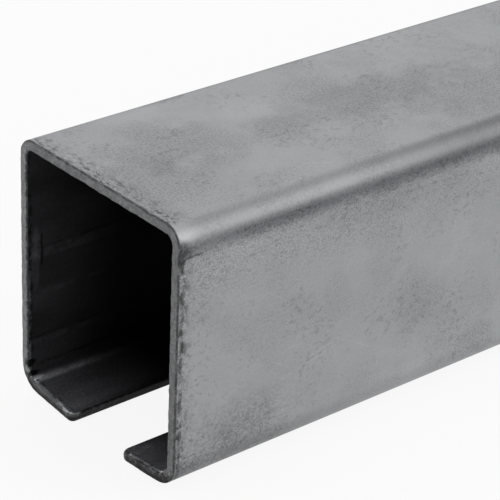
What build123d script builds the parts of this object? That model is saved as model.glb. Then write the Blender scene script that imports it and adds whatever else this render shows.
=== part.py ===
from build123d import *

import os
from math import cos, radians, sin, tan

# Sliding gate track: one length of cold-formed steel channel that a gate's trolleys run in.
# The strip is bent four times into a box that is open along its bottom. The top web is flat,
# the two side walls stand square to it, and a lip turns in from the foot of each wall, so
# that the trolley wheels run on the lips and their hangers pass through the slot between
# them. The lips fall slightly towards the slot, as a rolled lip springs back.

# Frame, in millimetres: +X along the length, +Y across it, +Z up through the top web.
# The origin is at the middle of the length, level with the lowest edge of the lips.

# Driving dimensions of the stock, in millimetres
STOCK_LENGTH = 3000.0
TRACK_WIDTH = 70.0
TRACK_HEIGHT = 80.0
STRIP_THICKNESS = 3.0
SLOT_WIDTH = 22.0

# Inside radii of the two upper bends, and of the two bends at the feet of the walls
TOP_BEND_RADIUS = 2.5
FOOT_BEND_RADIUS = 4.5

# Fall of each lip from its wall to the slot, in degrees
LIP_FALL = 6.0

# Plan radius where a lip's edge meets the sawn end, and rounding of every cut edge
LIP_CORNER_RADIUS = 3.0
CUT_EDGE_RADIUS = 0.4


def outside_line():
    """The outside of the bent strip in the YZ plane, from one lip's edge to the other's."""
    fall = radians(LIP_FALL)
    wall_y = TRACK_WIDTH / 2
    # A lip's edge is square to its faces, so its upper corner leans into the slot.
    lip_edge_y = SLOT_WIDTH / 2 + STRIP_THICKNESS * sin(fall)
    # Rounding the lower corner raises the lowest point, so the line starts that far below.
    lip_edge_z = -CUT_EDGE_RADIUS * (sin(fall) + cos(fall) - 1)
    foot_z = lip_edge_z + (wall_y - lip_edge_y) * tan(fall)
    foot_radius = FOOT_BEND_RADIUS + STRIP_THICKNESS
    top_radius = TOP_BEND_RADIUS + STRIP_THICKNESS
    return FilletPolyline(
        (0, lip_edge_y, lip_edge_z),
        (0, wall_y, foot_z),
        (0, wall_y, TRACK_HEIGHT),
        (0, -wall_y, TRACK_HEIGHT),
        (0, -wall_y, foot_z),
        (0, -lip_edge_y, lip_edge_z),
        radius=[foot_radius, top_radius, top_radius, foot_radius],
    )


def strip_section():
    """The cut face of the bent strip: its outside line thickened inwards."""
    outline = outside_line().wire().offset_2d(STRIP_THICKNESS, side=Side.RIGHT, closed=True)
    return Face(outline)


def nearest_the_slot(edges, count):
    """Those of the edges low in the track whose middles lie nearest the slot's centre."""
    low = [edge for edge in edges if edge.center().Z < TRACK_HEIGHT / 2]
    return sorted(low, key=lambda edge: abs(edge.center().Y))[:count]


def gate_track():
    """The whole length, sawn square at both ends, with rounded lip corners and cut edges."""
    track = extrude(strip_section(), amount=STOCK_LENGTH / 2, dir=(1, 0, 0), both=True)

    lip_corners = []
    for end_face in track.faces().filter_by(Axis.X):
        lip_corners += nearest_the_slot(end_face.edges(), 2)
    track = fillet(lip_corners, LIP_CORNER_RADIUS)

    # The rounding of a lip's two long edges runs on round its corners and both sawn ends.
    lip_edges = nearest_the_slot(track.edges().filter_by(Axis.X), 4)
    return fillet(lip_edges, CUT_EDGE_RADIUS)


os.makedirs("parts", exist_ok=True)
export_step(gate_track(), "parts/gate_track.step")
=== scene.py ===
from math import cos, pi, radians, sin, tan

import bpy
import numpy as np
from mathutils import Matrix, Vector
from mathutils.noise import noise


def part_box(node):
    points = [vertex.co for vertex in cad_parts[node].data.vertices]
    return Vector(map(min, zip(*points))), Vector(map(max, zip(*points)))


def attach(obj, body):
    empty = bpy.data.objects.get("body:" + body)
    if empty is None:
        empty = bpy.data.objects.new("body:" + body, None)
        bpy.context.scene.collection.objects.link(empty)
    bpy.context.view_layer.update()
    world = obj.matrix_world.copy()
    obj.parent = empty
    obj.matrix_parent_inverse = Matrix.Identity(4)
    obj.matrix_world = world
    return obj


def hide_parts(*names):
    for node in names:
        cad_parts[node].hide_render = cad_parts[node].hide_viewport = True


# The looks of one length of sliding gate track: a bent steel strip, sawn at both ends.
# Metres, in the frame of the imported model: +X along the length, +Z up through the web.
# A place on the strip is given as it is on the flat: along it from the near end, across it
# from the web's middle, with +Y's wall (the photo's left) positive, and in from its outside.

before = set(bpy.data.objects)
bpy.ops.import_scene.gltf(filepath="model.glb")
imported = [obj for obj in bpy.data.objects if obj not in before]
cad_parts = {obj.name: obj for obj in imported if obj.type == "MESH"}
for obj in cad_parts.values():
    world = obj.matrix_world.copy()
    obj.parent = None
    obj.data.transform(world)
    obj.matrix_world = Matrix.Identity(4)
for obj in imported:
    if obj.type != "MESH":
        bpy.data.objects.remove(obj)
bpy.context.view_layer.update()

# Overall size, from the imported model
track_low, track_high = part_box("gate_track")
LENGTH = track_high.x - track_low.x
WIDTH = track_high.y - track_low.y
HEIGHT = track_high.z

# Sizes of the strip and its section. The left lip's near corner is a little sharper than
# the rest in the photo, and both of that lip's corners are made so.
THICKNESS = 0.003
SLOT = 0.022
TOP_INSIDE_RADIUS = 0.0025
FOOT_INSIDE_RADIUS = 0.0045
LIP_FALL = radians(6.0)
LIP_CORNER_RADIUS = 0.003
LEFT_LIP_CORNER_RADIUS = 0.0018
CUT_EDGE_RADIUS = 0.0004

# The lips' edges are worn rounder than the rest, from this far off the slit edge
WORN_EDGE_RADIUS_RIGHT = 0.0012
WORN_EDGE_RADIUS_LEFT = 0.0007
WORN_FROM = 0.012

# Spacing of the mesh's lines
FLAT_STEP = 0.0008
BEND_STEP = radians(6.0)
EDGE_STEPS = 4
RIM_STEPS = 5
NEAR_END_LINES = (0.0007, 0.0011, 0.0016, 0.0022, LIP_CORNER_RADIUS, 0.0038, 0.005, 0.0065,
                  0.0085, 0.011, 0.014, 0.019, 0.026, 0.036, 0.05, 0.07, 0.1, 0.14, 0.2, 0.28)
MIDDLE_STEP = 0.1

# Material slots of the mesh
OUTER_SLOT, INNER_SLOT, CUT_SLOT = 0, 1, 2

# Roughness that the saw left along the cut outline, with a seed for each end
BURR_WAVE = 0.0022
BURR_DEPTH_WAVE = 0.0008
BURR_AXIAL = 0.00012
BURR_INWARD = 0.00022
BURR_REACH = 0.0015
NEAR_SEED, FAR_SEED = 7.0, 31.0

# A nick in the outer edge of the near end's web: place across the strip, size and raggedness
NICK_ACROSS = -0.0222
NICK_HALF_WIDTH = 0.0017
NICK_DEPTH = 0.0006
NICK_REACH = 0.0014
NICK_WAVES_ACROSS = 2.3
NICK_WAVES_PER_METRE = 900

# Tones of bare steel outside, of the inside, painted near black as the shade in the channel, and of
# sawn steel, before their marks
OUTSIDE_TONE = 0.342
INSIDE_PAINTED_SHADE_TONE = 0.030
SAWN_TONE = 0.185

# Tints of bare steel, of its stains and the dark bands below the bends, and of the inside's painted
# shade
OUTSIDE_TINT = (0.979, 0.988, 1.010)
STAIN_TINT = (0.945, 0.968, 1.035)
INSIDE_TINT = (0.965, 0.97, 1.05)

# The least roughness of all three, and how far full relief rises
LEAST_ROUGHNESS = 0.46
RELIEF_RISE = 0.0002

# Darker stains on the outside: place along and across the strip, half sizes and strength
STAINS = (
    (0.097, 0.001, 0.030, 0.009, 0.14),
    (0.130, -0.018, 0.034, 0.017, 0.11),
    (0.016, -0.015, 0.022, 0.013, 0.08),
    (0.084, 0.011, 0.013, 0.008, 0.06),
    (0.026, 0.006, 0.018, 0.012, 0.11),
    (0.013, -0.002, 0.010, 0.006, 0.10),
    (0.060, -0.002, 0.009, 0.009, 0.11),
    (0.088, -0.077, 0.015, 0.008, 0.04),
    (0.086, -0.081, 0.008, 0.005, 0.03),
    (0.024, -0.095, 0.011, 0.008, 0.09),
    (0.020, -0.099, 0.006, 0.004, 0.10),
    (0.003, -0.101, 0.006, 0.004, 0.06),
    (0.072, -0.042, 0.026, 0.004, 0.09),
    (0.112, -0.100, 0.006, 0.005, 0.10),
    (0.046, 0.033, 0.010, 0.003, 0.22),
)

# Smooth paler places on the outside, given in the same way
CLEAN_PLACES = (
    (0.034, -0.018, 0.010, 0.006, 0.06),
    (0.062, 0.013, 0.010, 0.008, 0.05),
    (0.072, -0.010, 0.006, 0.005, 0.06),
    (0.034, 0.027, 0.008, 0.004, 0.06),
    (0.130, 0.022, 0.018, 0.010, 0.04),
    (0.100, -0.067, 0.010, 0.008, 0.05),
    (0.062, -0.060, 0.005, 0.007, 0.05),
)

# Drawn lines along the inside of the left wall: height, half width, and darkening of each
INNER_LINES = (
    (0.0455, 0.0002, 0.6),
    (0.0438, 0.0010, -0.8),
    (0.0312, 0.0004, -0.5),
    (0.0175, 0.0002, 0.6),
    (0.0165, 0.0007, -0.6),
    (0.0085, 0.0003, 0.6),
)

# Single marks: place along and across the strip, and half sizes. The left wall has an edge
# that the saw rubbed, chips out of its foot and a bare spot below them, all on the inside,
# and the web has a group of scratches beside the right bend.
RUBBED_EDGE = (0.0028, 0.0683, 0.0014, 0.0085)
FOOT_CHIPS = (
    (0.0008, 0.1008, 0.0015, 0.0012),
    (0.0012, 0.1050, 0.0020, 0.0010),
)
BARE_SPOT = (0.0010, 0.1071, 0.0022, 0.0009)
SCRATCH_GROUP = (0.050, -0.026, 0.007, 0.003)

# Angles of the fine scratches off the track's length, and of the group's, in radians
SCRATCH_TURNS = (-0.22, 0.55)
GROUP_TURN = 0.62

# Distances from a sawn end: how far its scuffs reach on the web and on the walls, how deep
# into the track painted shade takes the inside to black, and where the painted highlight along the
# foot bends has faded out
SCUFFS_ON_WEB = 0.0088
SCUFFS_ON_WALL = 0.0056
INSIDE_PAINTED_SHADE_DEPTH = 0.040
FOOT_HIGHLIGHT_REACH = 0.038

# Camera: place, heading from +X towards +Y, fall below the level and roll, in degrees
CAMERA_PLACE = (-1.8231, -0.4382, 0.3473)
CAMERA_HEADING = 49.32
CAMERA_FALL = 27.755
CAMERA_ROLL = -2.357
FOCAL_LENGTH_PIXELS = 2326.0
IMAGE_PIXELS = 500.0
SENSOR_MM = 36.0

# Strength of the light that comes evenly from all round, and the lights from far off: name,
# direction towards each, spread in degrees and strength
EVEN_LIGHT = 0.55
LIGHTS = (
    ("right_softbox", (0.577, -0.70, 0.415), 50.0, 1.0),
    ("overhead_softbox", (0.10, 0.35, 0.93), 45.0, 0.44),
)

# Floor: half its size, its gap below the track, its shade, and the share of plain white that
# the camera sees in it
FLOOR_REACH = 20.0
FLOOR_GAP = 0.0003
FLOOR_SHADE = 0.9
FLOOR_WHITENESS = 0.9


# The bent strip as a developed plate

def half_runs():
    """Length and turn of each straight run and bend, from the web's middle to a lip's edge."""
    half_width = WIDTH / 2
    top_outside = TOP_INSIDE_RADIUS + THICKNESS
    foot_outside = FOOT_INSIDE_RADIUS + THICKNESS
    foot_turn = pi / 2 - LIP_FALL
    edge_y = SLOT / 2 + THICKNESS * sin(LIP_FALL)
    edge_z = -CUT_EDGE_RADIUS * (sin(LIP_FALL) + cos(LIP_FALL) - 1)
    foot_z = edge_z + (half_width - edge_y) * tan(LIP_FALL)
    foot_tangent = foot_outside * tan(foot_turn / 2)
    return [
        (half_width - top_outside, 0.0),
        ((top_outside - THICKNESS / 2) * pi / 2, pi / 2),
        (HEIGHT - foot_z - top_outside - foot_tangent, 0.0),
        ((foot_outside - THICKNESS / 2) * foot_turn, foot_turn),
        ((half_width - edge_y) / cos(LIP_FALL) - foot_tangent, 0.0),
    ]


# Places of the bends and the slit edge, as distances from the web's middle
RUNS = half_runs()
TOP_BEND_START = RUNS[0][0]
TOP_BEND_END = TOP_BEND_START + RUNS[1][0]
FOOT_BEND_START = TOP_BEND_END + RUNS[2][0]
FOOT_BEND_END = FOOT_BEND_START + RUNS[3][0]
HALF_STRIP = FOOT_BEND_END + RUNS[4][0]

# Single marks beside the right bend and at the right lip's tip, given as the others are
SMUDGE = (0.0014, -TOP_BEND_END - 0.0010, 0.0038, 0.0025)
PALE_TIP = (0.002, -HALF_STRIP, 0.0065, 0.0050)


def place_on_section(across):
    """The strip's centreline at that distance from the web's middle: its y, z and outward normal."""
    left = abs(across)
    y, z, heading = 0.0, HEIGHT - THICKNESS / 2, 0.0
    for length, turn in RUNS:
        step = min(left, length)
        if turn:
            radius = length / turn
            turned = turn * step / length
            y += radius * (sin(heading + turned) - sin(heading))
            z += radius * (cos(heading + turned) - cos(heading))
            heading += turned
        else:
            y += step * cos(heading)
            z -= step * sin(heading)
        left -= step
        if left <= 0:
            break
    side = -1.0 if across < 0 else 1.0
    return side * y, z, side * sin(heading), cos(heading)


def edge_lines():
    """Distances from a cut edge of the lines that round it."""
    return [CUT_EDGE_RADIUS * (1 - cos(pi / 2 * k / EDGE_STEPS)) for k in range(EDGE_STEPS + 1)]


def edge_radius(across):
    """How round the cut edges are at each place across the strip."""
    worn = np.where(across < 0, WORN_EDGE_RADIUS_RIGHT, WORN_EDGE_RADIUS_LEFT)
    into_wear = np.abs(across) - HALF_STRIP + WORN_FROM
    share = np.clip(into_wear / (WORN_FROM - LIP_CORNER_RADIUS), 0, 1)
    return CUT_EDGE_RADIUS + (worn - CUT_EDGE_RADIUS) * share


def spread(start, end, step):
    """Evenly spaced values from start, without it, up to end."""
    count = max(1, round((end - start) / step))
    return [start + (end - start) * (k + 1) / count for k in range(count)]


def across_lines():
    """Places of the mesh's lengthwise lines across the developed strip."""
    half = [0.0]
    for length, turn in RUNS[:-1]:
        step = length * BEND_STEP / turn if turn else FLAT_STEP
        half += spread(half[-1], half[-1] + length, step)
    half += spread(half[-1], HALF_STRIP - LIP_CORNER_RADIUS, FLAT_STEP)
    half += spread(half[-1], HALF_STRIP - FLAT_STEP, FLAT_STEP / 2)
    half += [HALF_STRIP - distance for distance in reversed(edge_lines())]
    return np.array([-value for value in reversed(half[1:])] + half)


def along_lines():
    """Places of the mesh's crosswise lines along the length, as distances from the near end."""
    near = edge_lines() + list(NEAR_END_LINES)
    middle = spread(near[-1], LENGTH - near[-1], MIDDLE_STEP)
    return np.array(near + middle[:-1] + [LENGTH - value for value in reversed(near)])


def round_the_corners(from_end, from_side, radius):
    """Moves points near a lip's corner so that the corner is an arc of that radius in plan.

    Returns each point's distances from the end and from the side, and from the rounded edge."""
    end_out, side_out, rim = from_end.copy(), from_side.copy(), np.minimum(from_end, from_side)
    u, v = radius - from_end, radius - from_side
    inside = (u > 0) & (v > 0)
    reach = np.maximum(u, v)
    share = np.minimum(u, v) / np.where(inside, reach, 1.0)
    angle = np.where(u >= v, pi / 4 * share, pi / 2 - pi / 4 * share)
    end_out[inside] = (radius - reach * np.cos(angle))[inside]
    side_out[inside] = (radius - reach * np.sin(angle))[inside]
    rim[inside] = (radius - reach)[inside]
    return end_out, side_out, rim


def half_thickness(rim, radius):
    """Half the strip's thickness at each distance from the cut edge, which is rounded."""
    inset = np.clip(radius - rim, 0, radius)
    return THICKNESS / 2 - radius + np.sqrt(radius ** 2 - inset ** 2)


def burr(along, across, level):
    """How far the saw's roughness moves a point along the length and inwards."""
    end_distance = min(along, LENGTH - along)
    if end_distance > BURR_REACH:
        return 0.0, 0.0
    fade = 1 - end_distance / BURR_REACH
    near = along < LENGTH / 2
    seed = NEAR_SEED if near else FAR_SEED
    wave = across / BURR_WAVE
    inner = 0.5 - level / THICKNESS
    axial = BURR_AXIAL * noise(Vector((wave * 1.7, seed, level / BURR_DEPTH_WAVE))) * fade
    inward = BURR_INWARD * inner * noise(Vector((wave, seed + 11.0, 0.3))) * fade
    return (axial if near else -axial), inward


def nick(along, across, level):
    """How deep the nick in the near end's outer edge pushes a point in."""
    offset = (across - NICK_ACROSS) / NICK_HALF_WIDTH
    if along > NICK_REACH or abs(offset) > 1 or level < 0:
        return 0.0
    waves = Vector((offset * NICK_WAVES_ACROSS, along * NICK_WAVES_PER_METRE, 4.0))
    depth = NICK_DEPTH * (1 - offset ** 2) * (1 - along / NICK_REACH)
    return depth * (0.75 + 0.5 * noise(waves)) * level / (THICKNESS / 2)


def strip_points(along, across, level):
    """Bends developed points into the section. level runs from the inside face to the outside."""
    sections = {}
    points = []
    for u, a, c in zip(along, across, level):
        key = round(a, 7)
        if key not in sections:
            sections[key] = place_on_section(a)
        y, z, ny, nz = sections[key]
        axial, inward = burr(u, a, c)
        out = c - nick(u, a, c) + inward
        points.append((track_low.x + u + axial, y + ny * out, z + nz * out))
    return points


def border_places(rows, columns):
    """Rows and columns of a grid's points round its border, in order."""
    border = [(0, k) for k in range(columns)]
    border += [(k, columns - 1) for k in range(1, rows)]
    border += [(rows - 1, k) for k in range(columns - 2, -1, -1)]
    border += [(k, 0) for k in range(rows - 2, 0, -1)]
    return np.array([place[0] for place in border]), np.array([place[1] for place in border])


def skin_faces(outer, inner, rim):
    """Faces and material slots of both skins, which are sawn steel where the edge rounds them."""
    faces, slots = [], []
    rows, columns = outer.shape
    for i in range(rows - 1):
        for j in range(columns - 1):
            cut = rim[i:i + 2, j:j + 2].max() <= CUT_EDGE_RADIUS * 1.01
            faces.append((outer[i, j], outer[i + 1, j], outer[i + 1, j + 1], outer[i, j + 1]))
            faces.append((inner[i, j], inner[i, j + 1], inner[i + 1, j + 1], inner[i + 1, j]))
            slots += [CUT_SLOT if cut else OUTER_SLOT, CUT_SLOT if cut else INNER_SLOT]
    return faces, slots


def rim_faces(rings):
    """Faces that join each ring of points to the next."""
    faces = []
    for high, low in zip(rings[:-1], rings[1:]):
        for k in range(len(high)):
            n = (k + 1) % len(high)
            faces.append((high[k], high[n], low[n], low[k]))
    return faces


def track_mesh(name):
    """The strip as a closed mesh: two skins joined by a rim, with a place attribute in metres."""
    along, across = np.meshgrid(along_lines(), across_lines(), indexing="ij")
    from_end = np.minimum(along, LENGTH - along)
    from_side = HALF_STRIP - np.abs(across)
    corner = np.where(across > 0, LEFT_LIP_CORNER_RADIUS, LIP_CORNER_RADIUS)
    new_end, new_side, rim = round_the_corners(from_end, from_side, corner)
    along = np.where(along < LENGTH / 2, new_end, LENGTH - new_end)
    across = np.sign(across) * (HALF_STRIP - new_side)
    half = half_thickness(rim, edge_radius(across))

    border = border_places(*along.shape)
    u_parts, a_parts = [along.ravel(), along.ravel()], [across.ravel(), across.ravel()]
    c_parts = [half.ravel(), -half.ravel()]
    for k in range(1, RIM_STEPS):
        u_parts.append(along[border])
        a_parts.append(across[border])
        c_parts.append(half[border] * (1 - 2 * k / RIM_STEPS))
    u, a, c = (np.concatenate(parts) for parts in (u_parts, a_parts, c_parts))

    outer = np.arange(along.size).reshape(along.shape)
    inner = outer + along.size
    ring = np.arange(len(border[0])) + 2 * along.size
    rings = [outer[border]] + [ring + k * len(ring) for k in range(RIM_STEPS - 1)] + [inner[border]]
    faces, slots = skin_faces(outer, inner, rim)
    joining = rim_faces(rings)
    faces += joining
    slots += [CUT_SLOT] * len(joining)

    mesh = bpy.data.meshes.new(name)
    mesh.from_pydata(strip_points(u, a, c), [], [tuple(int(v) for v in face) for face in faces])
    mesh.polygons.foreach_set("material_index", slots)
    mesh.polygons.foreach_set("use_smooth", [True] * len(faces))
    place = mesh.attributes.new("strip_place", "FLOAT_VECTOR", "POINT")
    place.data.foreach_set("vector", np.column_stack([u, a, THICKNESS / 2 - c]).ravel())
    mesh.validate()
    mesh.update()
    return mesh


# Finishes

class Finish:
    """The nodes of one material. Each mark darkens or lightens its tone in turn.

    A mask is a socket that is 1 on a mark and 0 off it. Noise scales are waves per metre."""

    def __init__(self, name, tone):
        self.material = bpy.data.materials.new(name)
        self.tree = cleared_tree(self.material)
        self.tone = tone
        self.place = self.node("ShaderNodeAttribute", attribute_name="strip_place").outputs["Vector"]
        parts = self.node("ShaderNodeSeparateXYZ")
        self.link(self.place, parts.inputs[0])
        self.along, self.across, self.depth = parts.outputs
        self.from_middle = self.math("ABSOLUTE", self.across)
        self.from_end = self.math("MINIMUM", self.along, self.math("SUBTRACT", LENGTH, self.along))

    def node(self, kind, **settings):
        made = self.tree.nodes.new(kind)
        for key, value in settings.items():
            setattr(made, key, value)
        return made

    def link(self, source, target):
        self.tree.links.new(source, target)

    def put(self, value, socket):
        if isinstance(value, (int, float, tuple)):
            socket.default_value = value
        else:
            self.link(value, socket)

    def math(self, operation, first, second=0.0, third=0.0):
        made = self.node("ShaderNodeMath", operation=operation)
        for value, socket in zip((first, second, third), made.inputs):
            self.put(value, socket)
        return made.outputs[0]

    def vector(self, operation, first, second):
        made = self.node("ShaderNodeVectorMath", operation=operation)
        self.put(first, made.inputs[0])
        self.put(second, made.inputs[1])
        return made.outputs[0]

    def scaled_vector(self, vector, factor):
        made = self.node("ShaderNodeVectorMath", operation="SCALE")
        self.put(vector, made.inputs[0])
        self.put(factor, made.inputs["Scale"])
        return made.outputs[0]

    def joined(self, operation, values):
        total = values[0]
        for value in values[1:]:
            total = self.math(operation, total, value)
        return total

    def add(self, *values):
        return self.joined("ADD", values)

    def both(self, *masks):
        return self.joined("MULTIPLY", masks)

    def either(self, *masks):
        return self.joined("MAXIMUM", masks)

    def invert(self, mask):
        return self.math("SUBTRACT", 1.0, mask)

    def scaled(self, value, factor, offset=0.0):
        return self.math("MULTIPLY_ADD", value, factor, offset)

    def swing(self, pattern, reach):
        """Goes from -reach to reach as the pattern goes from 0 to 1."""
        return self.scaled(pattern, 2 * reach, -reach)

    def step(self, value, start, end, low=0.0, high=1.0):
        """A smooth change from low to high as value goes from start to end."""
        made = self.node("ShaderNodeMapRange", interpolation_type="SMOOTHSTEP")
        for item, socket in zip((value, start, end, low, high), made.inputs):
            self.put(item, socket)
        return made.outputs[0]

    def between(self, low, high, mask):
        """A smooth change from low to high as the mask goes from 0 to 1."""
        return self.step(mask, 0.0, 1.0, low, high)

    def contrast(self, pattern):
        """Spreads the middle of a noise's range, where most of it lies, over 0 to 1."""
        return self.step(pattern, 0.3, 0.7)

    def band(self, value, middle, half_width, soft):
        """1 within half_width of middle, fading to 0 over the soft distance."""
        away = self.math("ABSOLUTE", self.math("SUBTRACT", value, middle))
        return self.step(away, half_width, half_width + soft, 1.0, 0.0)

    def patch(self, place, soft, ragged):
        """1 inside an ellipse on the strip, with a soft edge that the ragged pattern breaks up."""
        along, across, half_length, half_width = place
        first = self.math("DIVIDE", self.math("SUBTRACT", self.along, along), half_length)
        second = self.math("DIVIDE", self.math("SUBTRACT", self.across, across), half_width)
        squares = self.scaled(first, first, self.math("MULTIPLY", second, second))
        away = self.add(self.math("SQRT", squares), ragged)
        return self.step(away, 1 + soft, 1 - soft)

    def noise(self, scale, detail, roughness, stretch=None, shift=None, vector=None):
        vector = self.place if vector is None else vector
        if stretch:
            vector = self.vector("MULTIPLY", vector, stretch)
        if shift:
            vector = self.vector("ADD", vector, shift)
        made = self.node("ShaderNodeTexNoise")
        self.link(vector, made.inputs["Vector"])
        made.inputs["Scale"].default_value = scale
        made.inputs["Detail"].default_value = detail
        made.inputs["Roughness"].default_value = roughness
        return made.outputs["Fac"]

    def spots(self, pattern, low=0.0, high=1.0, **moved):
        """Ragged spots of one of the named patterns, which go from low to high."""
        scale, start, end, detail, roughness = pattern
        return self.step(self.noise(scale, detail, roughness, **moved), start, end, low, high)

    def wander(self, reach, waves, detail, roughness):
        """How a line wanders, by up to reach, with so many waves per metre in each direction."""
        return self.swing(self.noise(1, detail, roughness, stretch=waves), reach)

    def cracks(self, width, stretch, shift):
        """Thin wandering lines, where a noise passes through its middle value."""
        pattern = self.noise(1, 5, 0.7, stretch=stretch, shift=shift)
        away = self.math("ABSOLUTE", self.math("SUBTRACT", pattern, 0.5))
        return self.step(away, 0.0, width, 1.0, 0.0)

    def scratches(self, turn, pattern, stretch, shift):
        """Sparse thin lines along the strip, turned by an angle in radians."""
        turned = self.node("ShaderNodeVectorRotate", rotation_type="Z_AXIS")
        self.link(self.place, turned.inputs["Vector"])
        turned.inputs["Angle"].default_value = turn
        return self.spots(pattern, stretch=stretch, shift=shift, vector=turned.outputs[0])

    def vary(self, amount, pattern):
        """Lightens and darkens the tone by up to amount, as the pattern goes from 0 to 1."""
        self.tone = self.both(self.tone, self.scaled(pattern, 2 * amount, 1 - amount))

    def darken(self, share, mask):
        """Takes that share of the tone away where the mask is 1. A negative share lightens."""
        self.tone = self.both(self.tone, self.invert(self.both(mask, share)))

    def tint_between(self, first, second, mask):
        """A colour that is the first where the mask is 0 and the second where it is 1."""
        change = tuple(b - a for a, b in zip(first, second))
        return self.vector("ADD", self.scaled_vector(change, mask), first)

    def surface(self, tint, roughness, relief, metallic, specular, bump):
        """Finishes the material with a tint, its gloss and a pattern for its relief."""
        raised = self.node("ShaderNodeBump")
        raised.inputs["Strength"].default_value = bump
        raised.inputs["Distance"].default_value = RELIEF_RISE
        self.link(relief, raised.inputs["Height"])
        shader = self.node("ShaderNodeBsdfPrincipled")
        self.link(self.scaled_vector(tint, self.tone), shader.inputs["Base Color"])
        self.put(roughness, shader.inputs["Roughness"])
        shader.inputs["Metallic"].default_value = metallic
        shader.inputs["Specular IOR Level"].default_value = specular
        self.link(raised.outputs[0], shader.inputs["Normal"])
        output = self.node("ShaderNodeOutputMaterial")
        self.link(shader.outputs[0], output.inputs[0])
        return self.material


# Spotted patterns of the outside: waves per metre (1 where a stretch gives them), the two
# levels of the noise between which a spot begins, and the noise's detail and roughness
CLOUDS = (38, 0.47, 0.60, 5, 0.62)
SPECKLES = (1350, 0.50, 0.61, 4, 0.75)
FLECKS = (1200, 0.56, 0.65, 4, 0.75)
SPECKLED_PATCHES = (75, 0.42, 0.60, 4, 0.65)
FOOT_SMEARS = (170, 0.44, 0.60, 5, 0.68)
FOOT_SPECKS = (760, 0.49, 0.58, 5, 0.75)
PALE_FOOT_SPECKS = (760, 0.53, 0.61, 5, 0.75)
BAND_STRENGTH = (1, 0.25, 0.6, 2, 0.5)
BAND_SPECKS = (820, 0.47, 0.60, 4, 0.75)
BAND_PATCHES = (60, 0.40, 0.58, 3, 0.6)
START_LINE_BREAKS = (1, 0.36, 0.56, 3, 0.6)
CHIPPED_ZONES = (55, 0.46, 0.62, 3, 0.6)
CRACK_BREAKS = (420, 0.48, 0.56, 3, 0.6)
CHIPS = (620, 0.65, 0.70, 4, 0.65)
DOTS = (1150, 0.66, 0.71, 2, 0.6)
SCUFFED_ZONES = (150, 0.36, 0.56, 3, 0.6)
SCUFFS = (440, 0.49, 0.58, 5, 0.72)
END_SPECKS = (640, 0.55, 0.62, 4, 0.7)
SMUDGE_BREAKS = (600, 0.40, 0.54, 5, 0.75)
END_LINE_BREAKS = (1, 0.40, 0.56, 3, 0.65)
LONG_SCRATCHES = (1, 0.70, 0.74, 2, 0.5)
GROUPED_SCRATCHES = (1, 0.56, 0.62, 2, 0.5)


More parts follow.
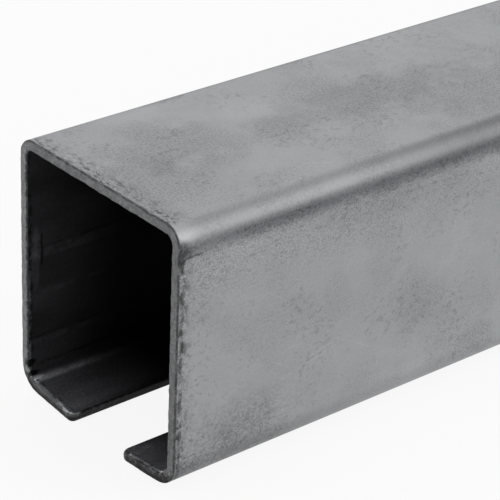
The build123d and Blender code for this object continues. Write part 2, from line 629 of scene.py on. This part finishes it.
class OuterSkin(Finish):
    """Bare mill-finish steel: clouded grey, with stains, chips, scuffed cuts and rolled bends, painted
    shade and a painted highlight on the bends, and painted shade along and under the foot.
    """

    def __init__(self):
        super().__init__("mill_steel_outside", OUTSIDE_TONE)
        off_web = self.step(self.from_middle, TOP_BEND_START, TOP_BEND_START + 0.002)
        self.wall = self.step(self.from_middle, TOP_BEND_END - 0.002, TOP_BEND_END + 0.002)
        self.on_bend = self.both(off_web, self.invert(self.wall))
        self.off_bend = self.invert(self.on_bend)
        self.mostly_off_bend = self.scaled(self.on_bend, -0.8, 1.0)
        below = self.step(self.from_middle, TOP_BEND_END + 0.026, TOP_BEND_END + 0.004)
        self.below_band = self.both(self.wall, below)
        self.mottling = self.noise(150, 4, 0.62)
        self.grain = self.contrast(self.noise(1700, 4, 0.8))
        self.ragged = self.swing(self.noise(110, 5, 0.68), 1.2)
        self.speckles = self.spots(SPECKLES, shift=(0.0, 0.6, 0.0))
        self.flecks = self.spots(FLECKS, shift=(0.8, 0.0, 0.0))

    def patches(self, places, sign):
        """Darkens each place, or lightens it where the sign is -1, and returns a mask of all."""
        covered = 0.0
        for *place, strength in places:
            mask = self.patch(place, 0.5, self.ragged)
            covered = self.either(covered, mask)
            self.darken(sign * strength, mask)
        return covered

    def clouds_and_stains(self):
        """Clouds and stains, which are speckled. The metal between them is smooth."""
        clouds = self.spots(CLOUDS)
        self.vary(0.035, self.contrast(self.mottling))
        self.darken(0.06, clouds)
        self.stained = self.patches(STAINS, 1.0)
        clean = self.patches(CLEAN_PLACES, -1.0)

        patchy = self.spots(SPECKLED_PATCHES, low=0.35, high=0.95, shift=(0.6, 0.2, 0.0))
        patchy = self.both(patchy, self.step(self.from_end, 0.065, 0.100, low=1.0, high=0.35))
        calm = self.both(self.wall, self.step(self.from_middle, 0.092, 0.086))
        speckled = self.either(
            self.both(self.stained, self.scaled(calm, -0.45, 1.0)),
            self.both(clouds, self.scaled(self.wall, -0.35, 0.75)),
            self.both(self.below_band, patchy),
        )
        speckled = self.both(speckled, self.invert(clean))
        self.grain_share = self.scaled(speckled, 0.28, self.scaled(self.below_band, 0.20, 0.13))
        fine = self.both(self.math("SUBTRACT", self.grain, 0.5), self.grain_share)
        self.tone = self.both(self.tone, self.add(fine, 1.0))

        speckled = self.both(speckled, self.mostly_off_bend)
        self.dark_specks = self.both(speckled, self.speckles)
        self.pale_specks = self.both(speckled, self.flecks)
        self.darken(0.32, self.dark_specks)
        self.darken(self.scaled(self.wall, -0.14, -0.12), self.pale_specks)

    def foot_dirt_and_shade(self):
        """The walls' dirt towards the foot, specks beside a sawn end, painted shade along the foot
        bend, deepened by dirt beside the sawn end, and painted shade under the foot.
        """
        low = self.step(self.from_middle, FOOT_BEND_START - 0.022, FOOT_BEND_START + 0.001)
        foot = self.step(self.from_middle, FOOT_BEND_START - 0.002, FOOT_BEND_START + 0.0015)
        painted_shade_under_foot = self.step(self.from_middle, FOOT_BEND_START + 0.0035, FOOT_BEND_START + 0.0075)
        dirt_and_shade_near_end = self.step(self.from_end, 0.025, 0.070, low=1.0, high=0.25)
        near_foot = self.both(low, self.step(self.from_end, 0.060, 0.018))
        specks = self.spots(FOOT_SPECKS, shift=(0.2, 0.9, 0.0))
        pale_specks = self.spots(PALE_FOOT_SPECKS, shift=(0.7, 0.1, 0.0))
        self.darken(0.08, self.both(low, dirt_and_shade_near_end, self.spots(FOOT_SMEARS)))
        # Painted shade along the foot bend, deeper beside a sawn end where there is dirt too
        self.darken(0.25, self.both(foot, dirt_and_shade_near_end))
        self.darken(-0.07, self.both(low, self.step(self.from_end, 0.045, 0.090)))
        self.darken(0.27, self.both(near_foot, specks))
        self.darken(-0.17, self.both(near_foot, pale_specks))
        # Painted shade under the foot
        self.darken(0.55, painted_shade_under_foot)

    def dark_band_and_painted_bend_shade(self):
        """The dark band below each upper bend, a fine line at its start, and painted shade on the
        bends.
        """
        wander = self.wander(0.0013, (90, 1, 1), 4, 0.6)
        fringe = self.swing(self.noise(700, 4, 0.75), 0.0017)
        strength = self.spots(BAND_STRENGTH, low=0.75, stretch=(40, 1, 1), shift=(0.013, 0, 0))
        strength = self.both(strength, self.step(self.along, 0.004, 0.030, low=0.72))
        upper_side = self.step(self.from_middle, TOP_BEND_END - 0.0018, TOP_BEND_END + 0.0006)
        lower = self.add(self.from_middle, self.add(wander, fringe))
        lower_side = self.step(lower, TOP_BEND_END + 0.0054, TOP_BEND_END + 0.0008)
        self.dark_band_under_bend = self.both(strength, self.both(upper_side, lower_side))
        self.darken(0.51, self.dark_band_under_bend)
        specks = self.spots(BAND_SPECKS, shift=(0.5, 0.5, 0.0))
        self.darken(0.32, self.both(self.dark_band_under_bend, self.both(specks, self.spots(BAND_PATCHES))))
        self.darken(0.20, self.both(self.dark_band_under_bend, self.speckles))
        self.darken(-0.26, self.both(self.dark_band_under_bend, self.flecks))

        # Painted shade on the bend dims its highlight, most further in, and spares its very end, which
        # is left brighter as a painted highlight.
        self.darken(0.26, self.both(self.on_bend, self.step(self.from_end, 0.050, 0.105)))
        self.darken(0.21, self.both(self.on_bend, self.step(self.from_end, 0.002, 0.009)))
        line_place = self.add(self.from_middle, self.scaled(fringe, 0.35, wander))
        line = self.band(line_place, TOP_BEND_START + 0.0014, 0.0003, 0.0012)
        share = self.step(self.from_end, 0.040, 0.075, low=0.02, high=0.04)
        breaks = self.spots(START_LINE_BREAKS, 0.45, 1.1, stretch=(130, 500, 1), shift=(0.4, 0, 0))
        self.darken(self.both(share, breaks), line)

    def chips_and_cracks(self):
        """Chips and short cracks, thickest just below the band."""
        zone = self.spots(CHIPPED_ZONES, shift=(0.31, 0.0, 0.0))
        zone = self.both(self.either(zone, self.below_band), self.mostly_off_bend)
        breaks = self.spots(CRACK_BREAKS, shift=(1.7, 0.2, 0.0))
        cracks = self.both(self.cracks(0.045, (220, 360, 300), (0.5, 0.1, 0.0)), breaks)
        self.cracked = self.both(zone, cracks)
        self.darken(0.30, self.cracked)
        chips = self.spots(CHIPS, shift=(0.9, 0.7, 0.0))
        self.darken(0.34, self.both(self.scaled(zone, 0.7, 0.3), chips))
        dots = self.spots(DOTS, shift=(0.4, 0.4, 0.0))
        self.darken(0.42, self.both(dots, self.scaled(self.below_band, 0.6, 0.4)))

    def sawn_end_scuffs(self):
        """Scuffs, cracks and specks beside a sawn end."""
        reach = self.scaled(self.wall, SCUFFS_ON_WALL - SCUFFS_ON_WEB, SCUFFS_ON_WEB)
        near_end = self.step(self.from_end, reach, 0.0012)
        zone = self.spots(SCUFFED_ZONES, low=0.35, shift=(0.4, 0.0, 0.0))
        scuffs = self.spots(SCUFFS, stretch=(1.35, 0.65, 1.0), shift=(0.1, 0.4, 0.0))
        self.scuffs = self.both(near_end, self.both(zone, self.off_bend), scuffs)
        self.darken(0.66, self.scuffs)
        cracks = self.cracks(0.04, (420, 420, 420), (0.2, 0.9, 0.0))
        self.darken(0.40, self.both(near_end, cracks, self.off_bend))
        specks = self.spots(END_SPECKS, shift=(0.3, 0.5, 0.0))
        self.darken(0.30, self.both(self.wall, self.step(self.from_end, 0.020, 0.004), specks))

    def sawn_end_lines(self):
        """A smudge and a crack beside the right bend, and the line that the burr left on the walls."""
        broken = self.spots(SMUDGE_BREAKS, low=0.35, shift=(0.5, 0.1, 0.0))
        self.darken(0.58, self.both(self.patch(SMUDGE, 0.4, self.ragged), broken))
        wander = self.wander(0.0008, (420, 1, 1), 4, 0.7)
        crack = self.band(self.add(self.across, wander), -TOP_BEND_END - 0.0030, 0.0001, 0.0004)
        self.darken(0.55, self.both(crack, self.band(self.along, 0.0050, 0.0022, 0.0012)))
        wander = self.wander(0.0015, (1, 260, 1), 5, 0.7)
        line = self.band(self.add(self.from_end, wander), 0.0014, 0.0002, 0.0007)
        broken = self.spots(END_LINE_BREAKS, stretch=(1, 170, 1), shift=(0, 0.3, 0))
        self.darken(0.60, self.both(line, broken, self.wall))
        self.darken(0.35, self.step(self.from_end, 0.0009, 0.0003))

    def fine_scratches(self):
        """Fine light scratches at two angles, and a group of them beside the right bend."""
        for k, turn in enumerate(SCRATCH_TURNS):
            scratches = self.scratches(turn, LONG_SCRATCHES, (22, 1700, 1), (0.2 * k, 0.5, 0.0))
            self.darken(-0.16, scratches)
        group = self.patch(SCRATCH_GROUP, 0.3, 0.0)
        scratches = self.scratches(GROUP_TURN, GROUPED_SCRATCHES, (60, 2400, 1), (0.7, 0.2, 0.0))
        self.darken(-0.14, self.both(group, scratches))

    def dress(self):
        self.clouds_and_stains()
        self.foot_dirt_and_shade()
        self.dark_band_and_painted_bend_shade()
        self.chips_and_cracks()
        self.sawn_end_scuffs()
        self.sawn_end_lines()
        self.fine_scratches()
        stain_tinted = self.either(self.dark_band_under_bend, self.both(self.stained, 0.2))
        tint = self.tint_between(OUTSIDE_TINT, STAIN_TINT, stain_tinted)
        relief = self.scaled(self.mottling, 0.7, self.both(self.grain, 0.15, self.grain_share))
        relief = self.scaled(self.dark_specks, -0.2, relief)
        relief = self.scaled(self.pale_specks, 0.2, relief)
        relief = self.scaled(self.cracked, -0.4, relief)
        relief = self.scaled(self.scuffs, -0.6, relief)
        relief = self.both(relief, self.scaled(self.on_bend, -0.6, 1.0))
        roughness = self.scaled(self.mottling, 0.14, LEAST_ROUGHNESS)
        return self.surface(tint, roughness, relief, metallic=0.85, specular=0.5, bump=0.6)


# Spotted patterns of the inside, given in the same way
INSIDE_CLOUDS = (30, 0.35, 0.65, 3, 0.55)
DRAWN_LINE_BREAKS = (110, 0.42, 0.58, 5, 0.7)
EDGE_CHIPS = (1, 0.50, 0.58, 4, 0.7)
FOOT_HIGHLIGHT_BREAKS = (150, 0.30, 0.62, 4, 0.65)
LIP_FLECKS = (1000, 0.46, 0.66, 5, 0.8)
TIP_FLAKES = (520, 0.46, 0.58, 5, 0.75)
BARE_LIP_END = (420, 0.38, 0.52, 4, 0.7)


class InnerSkin(Finish):
    """The inside, painted near black as the shade in the channel, with drawn lines and a painted
    highlight along the foot bends.
    """

    def __init__(self):
        super().__init__("inside_painted_shade", INSIDE_PAINTED_SHADE_TONE)
        self.mottling = self.noise(60, 3, 0.5, stretch=(0.6, 1.3, 1))
        self.grain = self.noise(1000, 4, 0.7)
        self.rough = self.swing(self.noise(260, 5, 0.7), 1.2)
        self.on_lip = self.step(self.from_middle, FOOT_BEND_END - 0.004, FOOT_BEND_END - 0.001)

    def drawn_lines(self):
        """Drawn lines along the left wall."""
        wander = self.wander(0.0015, (60, 1, 1), 6, 0.72)
        wandered = self.add(self.across, wander)
        patchy = self.spots(DRAWN_LINE_BREAKS, shift=(0.7, 0.0, 0.0))
        for height, half_width, share in INNER_LINES:
            place = TOP_BEND_END + HEIGHT - TOP_INSIDE_RADIUS - THICKNESS - height
            line = self.band(wandered, place, half_width, half_width + 0.0004)
            self.darken(share, self.both(line, patchy))

    def left_wall_edge(self):
        """The saw rubbed the left wall's edge paler in places, and scale chipped off beside it."""
        self.darken(-0.9, self.patch(RUBBED_EDGE, 0.4, self.rough))
        beside = self.band(self.across, 0.0655, 0.0045, 0.001)
        line = self.band(self.add(self.along, self.both(self.rough, 0.0004)), 0.0049, 0.0001, 0.0004)
        self.darken(0.70, self.both(beside, line))
        chipped = self.spots(EDGE_CHIPS, stretch=(420, 260, 1), shift=(0.0, 0.2, 0.0))
        self.darken(0.70, self.both(self.step(self.from_end, 0.0024, 0.0010), chipped))

    def foot_bends(self):
        """The foot bends: rubbed and chipped at the left one's end, and a broken painted highlight
        along both, fading away from the sawn end.
        """
        end_place = self.add(self.from_end, self.both(self.rough, 0.0005))
        rubbed = self.step(end_place, 0.0013, 0.0007)
        self.darken(-2.6, self.both(rubbed, self.band(self.across, 0.0880, 0.0120, 0.008)))
        jagged = self.swing(self.noise(800, 4, 0.7), 1.5)
        for chip in FOOT_CHIPS:
            self.darken(0.9, self.patch(chip, 0.2, jagged))
        self.darken(-1.6, self.patch(BARE_SPOT, 0.4, self.rough))
        # Painted highlight along each foot bend, brightest at a sawn end
        middle = (FOOT_BEND_START + FOOT_BEND_END) / 2
        worn = self.band(self.from_middle, middle + 0.0022, 0.0005, 0.0022)
        worn = self.both(worn, self.step(self.from_end, FOOT_HIGHLIGHT_REACH, 0.001))
        self.darken(-3.0, self.both(worn, self.spots(FOOT_HIGHLIGHT_BREAKS, low=0.35)))

    def lips(self):
        """The lips, paler than the walls, with flecks and bare ends."""
        self.darken(-2.35, self.on_lip)
        flecks = self.spots(LIP_FLECKS, shift=(0.3, 0.3, 0.0))
        self.darken(-0.5, self.both(self.on_lip, flecks))
        self.darken(0.35, self.step(self.from_middle, HALF_STRIP - 0.0035, HALF_STRIP - 0.0005))
        flakes = self.spots(TIP_FLAKES, low=0.15, shift=(0.9, 0.1, 0.0))
        self.darken(-1.3, self.both(self.patch(PALE_TIP, 0.5, self.rough), flakes))
        end_edge = self.step(self.from_end, 0.0014, 0.0007)
        bare = self.spots(BARE_LIP_END)
        self.darken(-2.0, self.both(end_edge, bare, self.on_lip))

    def dress(self):
        self.vary(0.30, self.spots(INSIDE_CLOUDS, stretch=(0.5, 1.6, 1)))
        self.vary(0.15, self.contrast(self.mottling))
        self.vary(0.14, self.contrast(self.grain))
        self.drawn_lines()
        self.left_wall_edge()
        self.foot_bends()
        self.lips()
        # Painted shade: the inside goes black with distance from a sawn end.
        self.darken(0.98, self.step(self.from_end, 0.0, INSIDE_PAINTED_SHADE_DEPTH))
        relief = self.scaled(self.grain, 0.2, self.mottling)
        roughness = self.scaled(self.mottling, 0.2, LEAST_ROUGHNESS)
        return self.surface(INSIDE_TINT, roughness, relief, metallic=0.0, specular=0.03, bump=0.25)


# Spotted patterns of the cut faces, given in the same way
UNWORN_OUTER_LINE = (1, 0.36, 0.56, 4, 0.7)
LIP_END_PATCHES = (300, 0.42, 0.58, 5, 0.7)
DARK_FLAKES = (640, 0.45, 0.55, 5, 0.75)
BARE_FLAKES = (560, 0.52, 0.60, 5, 0.75)
SLIT_CHIPS = (620, 0.50, 0.60, 4, 0.75)


class CutFaces(Finish):
    """Sawn ends and slit edges: mid grey at the web and walls, and near black at the lips."""

    def __init__(self):
        super().__init__("sawn_steel", SAWN_TONE)
        self.mottling = self.noise(320, 4, 0.6)
        self.grain = self.noise(1100, 4, 0.75)
        self.saw_lines = self.noise(1, 3, 0.6, stretch=(300, 420, 2600))
        self.low = self.step(self.from_middle, FOOT_BEND_START, FOOT_BEND_START + 0.006)
        self.above = self.invert(self.low)
        self.right = self.step(self.across, 0.001, -0.001)

    def web_and_walls(self):
        """A dark outer line, and black scale that breaks into the inner edge, mostly on the left."""
        edge_wander = self.wander(0.0006, (1, 420, 1), 4, 0.7)
        outer_line = self.step(self.add(self.depth, edge_wander), 0.0007, 0.0001)
        unworn = self.spots(UNWORN_OUTER_LINE, low=0.25, stretch=(1, 190, 1), shift=(0.0, 0.6, 0.0))
        self.darken(0.66, self.both(outer_line, unworn))
        scale_edge = self.wander(0.0015, (1, 520, 1), 4, 0.7)
        scale = self.step(self.add(self.depth, scale_edge), 0.0022, 0.0028)
        left_wall = self.both(self.step(self.across, TOP_BEND_START, TOP_BEND_END), self.above)
        self.darken(-0.22, left_wall)
        self.darken(0.75, self.both(scale, self.above, self.scaled(left_wall, 0.8, 0.2)))
        self.darken(0.05, self.step(self.across, -TOP_BEND_END + 0.004, -TOP_BEND_END - 0.002))

    def lip_ends(self):
        """The lips' sawn ends, pale along their upper edge and dark below it."""
        patches = self.spots(LIP_END_PATCHES, shift=(0.2, 0.1, 0.0))
        depth = self.add(self.depth, self.swing(patches, 0.0003))
        upper_part = self.step(depth, 0.0012, 0.0019)
        sawn = self.step(self.from_end, 0.0040, 0.0015)
        # Darker over all the lips' cut faces; along the slit edges this is painted shade
        self.darken(0.88, self.low)
        self.darken(self.scaled(self.right, 1.1, -3.6), self.both(self.low, sawn, upper_part))

        # The left lip's upper edge is bare and bright at its corner.
        at_tip = self.band(self.from_middle, HALF_STRIP - 0.0030, 0.0024, 0.0020)
        arris = self.step(depth, THICKNESS - 0.0007, THICKNESS - 0.0003)
        arris = self.both(arris, self.step(self.from_end, 0.0046, 0.0030))
        arris = self.both(arris, self.between(0.12, 1.0, at_tip))
        self.darken(-3.0, self.both(self.low, self.both(arris, self.between(1.0, 0.15, self.right))))

        # The right lip's upper edge is flaked.
        near_tip = self.both(self.low, self.right, self.step(self.from_end, 0.030, 0.010))
        flakes = self.spots(DARK_FLAKES, shift=(0.6, 0.3, 0.0))
        bare_flakes = self.spots(BARE_FLAKES, shift=(0.1, 0.8, 0.0))
        self.darken(-0.5, self.both(near_tip, self.step(self.from_end, 0.0015, 0.0045)))
        self.darken(0.70, self.both(near_tip, flakes))
        self.darken(-1.5, self.both(near_tip, bare_flakes))

    def foot_chips(self):
        """The chips out of the left wall's foot, where they reach into the sawn end."""
        jagged = self.swing(self.noise(800, 4, 0.7), 1.5)
        inner_part = self.step(self.depth, 0.0012, 0.0018)
        for place in FOOT_CHIPS:
            self.darken(0.92, self.both(self.patch(place, 0.2, jagged), inner_part))

    def slit_edges(self):
        """The lips' slit edges: near black, with painted shade that deepens away from the sawn end,
        and speckled towards that end.
        """
        slit = self.both(self.low, self.step(self.from_end, 0.0020, 0.0045))
        chips = self.spots(SLIT_CHIPS, shift=(0.0, 0.4, 0.0))
        self.darken(0.30, slit)
        self.darken(-2.0, self.both(slit, self.step(self.from_end, 0.034, 0.006), chips))
        # Painted shade, deepening along the slits away from the sawn end
        self.darken(0.75, self.both(self.low, self.step(self.from_end, 0.006, 0.034)))

    def dress(self):
        self.vary(0.20, self.contrast(self.mottling))
        self.vary(0.14, self.contrast(self.saw_lines))
        self.vary(0.26, self.contrast(self.grain))
        self.web_and_walls()
        self.lip_ends()
        self.foot_chips()
        self.slit_edges()
        relief = self.scaled(self.saw_lines, 0.6, self.add(self.mottling, self.grain))
        roughness = self.scaled(self.mottling, 0.2, LEAST_ROUGHNESS)
        return self.surface(OUTSIDE_TINT, roughness, relief, metallic=0.5, specular=0.2, bump=0.6)


def make_track():
    track = bpy.data.objects.new("steel_track", track_mesh("steel_track"))
    bpy.context.scene.collection.objects.link(track)
    for finish in (OuterSkin(), InnerSkin(), CutFaces()):
        track.data.materials.append(finish.dress())
    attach(track, "root")
    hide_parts("gate_track")


# Floor, light and camera

def cleared_tree(owner):
    """The empty node tree of a material or a world."""
    owner.use_nodes = True
    owner.node_tree.nodes.clear()
    return owner.node_tree


def show_when_seen(tree, unseen, seen, share, output_kind):
    """Mixes that share of the second shader in for the camera and reflections, and no others."""
    rays = tree.nodes.new("ShaderNodeLightPath")
    either = tree.nodes.new("ShaderNodeMath")
    either.operation = "MAXIMUM"
    part = tree.nodes.new("ShaderNodeMath")
    part.operation = "MULTIPLY"
    part.inputs[1].default_value = share
    blend = tree.nodes.new("ShaderNodeMixShader")
    output = tree.nodes.new(output_kind)
    tree.links.new(rays.outputs["Is Camera Ray"], either.inputs[0])
    tree.links.new(rays.outputs["Is Glossy Ray"], either.inputs[1])
    tree.links.new(either.outputs[0], part.inputs[0])
    tree.links.new(part.outputs[0], blend.inputs[0])
    tree.links.new(unseen.outputs[0], blend.inputs[1])
    tree.links.new(seen.outputs[0], blend.inputs[2])
    tree.links.new(blend.outputs[0], output.inputs[0])


def make_floor():
    """A pale floor that the camera sees as nearly white, with the track's shadow on it."""
    mesh = bpy.data.meshes.new("floor")
    corners = [(x, y, -FLOOR_GAP) for x, y in ((-1, -1), (1, -1), (1, 1), (-1, 1))]
    corners = [(x * FLOOR_REACH, y * FLOOR_REACH, z) for x, y, z in corners]
    mesh.from_pydata(corners, [], [(0, 1, 2, 3)])
    floor = bpy.data.objects.new("floor", mesh)
    bpy.context.scene.collection.objects.link(floor)
    material = bpy.data.materials.new("pale_floor")
    tree = cleared_tree(material)
    matt = tree.nodes.new("ShaderNodeBsdfDiffuse")
    matt.inputs["Color"].default_value = (FLOOR_SHADE, FLOOR_SHADE, FLOOR_SHADE, 1)
    white = tree.nodes.new("ShaderNodeEmission")
    white.inputs["Strength"].default_value = 1.0
    show_when_seen(tree, matt, white, FLOOR_WHITENESS, "ShaderNodeOutputMaterial")
    mesh.materials.append(material)


def make_world():
    """Even studio light. The camera and the steel's reflections see it as white."""
    world = bpy.data.worlds.new("studio")
    bpy.context.scene.world = world
    tree = cleared_tree(world)
    even, white = (tree.nodes.new("ShaderNodeBackground") for _ in range(2))
    for background, strength in ((even, EVEN_LIGHT), (white, 1.0)):
        background.inputs["Color"].default_value = (1, 1, 1, 1)
        background.inputs["Strength"].default_value = strength
    show_when_seen(tree, even, white, 1.0, "ShaderNodeOutputWorld")


def make_light(name, towards, spread_degrees, strength):
    """A soft light from far off in the direction given, so that the whole length is lit alike."""
    data = bpy.data.lights.new(name, "SUN")
    data.angle = radians(spread_degrees)
    data.energy = strength
    light = bpy.data.objects.new(name, data)
    light.rotation_euler = Vector(towards).to_track_quat("Z", "Y").to_euler()
    bpy.context.scene.collection.objects.link(light)


def make_camera():
    """The photograph's view: a long lens, in front of the near end, to its right and above it."""
    heading, fall, roll = radians(CAMERA_HEADING), radians(CAMERA_FALL), radians(CAMERA_ROLL)
    forward = Vector((cos(heading) * cos(fall), sin(heading) * cos(fall), -sin(fall)))
    level_right = forward.cross(Vector((0, 0, 1))).normalized()
    level_down = forward.cross(level_right)
    right = level_right * cos(roll) + level_down * sin(roll)
    down = level_down * cos(roll) - level_right * sin(roll)
    data = bpy.data.cameras.new("camera")
    data.sensor_fit = "HORIZONTAL"
    data.sensor_width = SENSOR_MM
    data.lens = SENSOR_MM * FOCAL_LENGTH_PIXELS / IMAGE_PIXELS
    camera = bpy.data.objects.new("camera", data)
    turn = Matrix((right, -down, -forward)).transposed().to_4x4()
    camera.matrix_world = Matrix.Translation(CAMERA_PLACE) @ turn
    bpy.context.scene.collection.objects.link(camera)
    bpy.context.scene.camera = camera


bpy.context.scene.view_settings.view_transform = "Standard"
make_camera()
make_track()
make_floor()
make_world()
for lamp in LIGHTS:
    make_light(*lamp)
